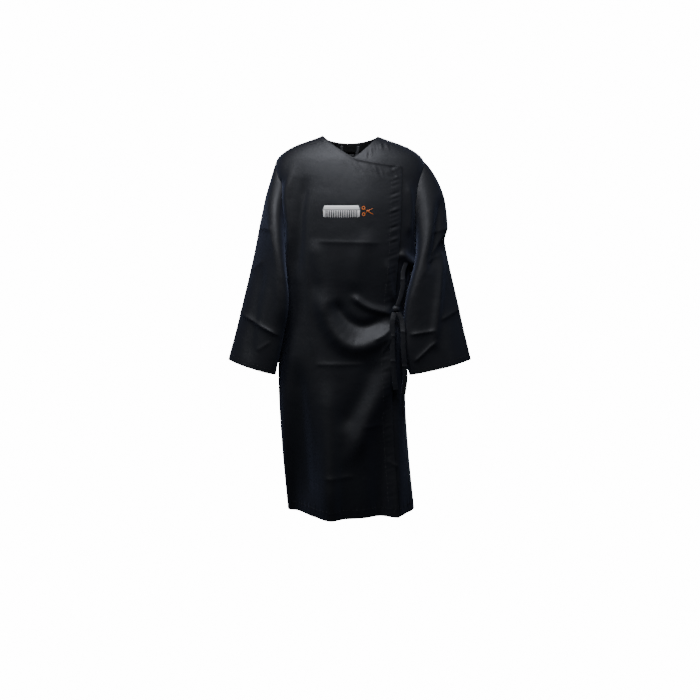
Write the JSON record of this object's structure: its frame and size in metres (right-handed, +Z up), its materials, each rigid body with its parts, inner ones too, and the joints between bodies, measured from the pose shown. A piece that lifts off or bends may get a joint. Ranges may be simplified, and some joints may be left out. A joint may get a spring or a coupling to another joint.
{
  "type": "salon wrap gown",
  "caption": "Long-sleeved wrap gown for a salon client, with overlapping fronts, a V neck and a tie at the waist.",
  "frame": {"origin": "middle of the neck opening, level with the sides of the neck, where the shoulders carry the gown", "axes": "+X towards the wearer's left, +Y towards the wearer's back, +Z up"},
  "size_m": [0.6852, 0.2711, 1.0645],
  "materials": {
    "gown_satin": "black woven polyester with a soft sheen",
    "tie_tape": "black folded tape of the gown's own cloth",
    "seam_thread": "black overlocked thread",
    "label_satin": "black woven satin",
    "white_print": "white transfer film",
    "orange_print": "orange transfer film"
  },
  "bodies": {
    "root": {"back_panel": "gown_satin", "outer_front": "gown_satin", "inner_front": "gown_satin", "outer_edge_band": "gown_satin", "inner_edge_band": "gown_satin", "outer_neck_facing": "gown_satin", "inner_neck_facing": "gown_satin", "back_neck_tape": "tie_tape", "back_hem": "gown_satin", "outer_front_hem": "gown_satin", "inner_front_hem": "gown_satin", "right_shoulder_seam": "seam_thread", "left_shoulder_seam": "seam_thread", "right_side_seam": "seam_thread", "left_side_seam": "seam_thread", "right_armhole_seam": "seam_thread", "left_armhole_seam": "seam_thread", "side_tie": "tie_tape", "outer_tie_tail": "tie_tape", "side_tie_tail": "tie_tape", "tie_knot": "tie_tape", "size_label": "label_satin", "care_label": "label_satin", "chest_emblem": "white_print", "chest_emblem_accent": "orange_print"},
    "right_sleeve_body": {"right_sleeve": "gown_satin", "right_cuff_hem": "gown_satin", "right_underarm_seam": "seam_thread"},
    "left_sleeve_body": {"left_sleeve": "gown_satin", "left_cuff_hem": "gown_satin", "left_underarm_seam": "seam_thread"},
    "wrap_corner_body": {"outer_front_corner": "gown_satin", "corner_edge_band": "gown_satin", "corner_hem": "gown_satin"},
    "hanger_loop_body": {"hanger_loop": "tie_tape"}
  },
  "joints": [
    {"name": "right_sleeve_lift", "type": "hinge", "parent": "root", "child": "right_sleeve_body", "pos_m": [-0.206, 0.01, -0.066], "axis": [0, 1, 0], "range_deg": [0, 45]},
    {"name": "left_sleeve_lift", "type": "hinge", "parent": "root", "child": "left_sleeve_body", "pos_m": [0.206, 0.01, -0.066], "axis": [0, -1, 0], "range_deg": [0, 45]},
    {"name": "wrap_corner_lift", "type": "hinge", "parent": "root", "child": "wrap_corner_body", "pos_m": [0.115, -0.112, -0.736], "axis": [-0.4005, -0.0784, -0.913], "range_deg": [0, 50]},
    {"name": "hanger_loop_flip", "type": "hinge", "parent": "root", "child": "hanger_loop_body", "pos_m": [0, 0.0705, -0.0205], "axis": [-1, 0, 0], "range_deg": [0, 150]}
  ]
}
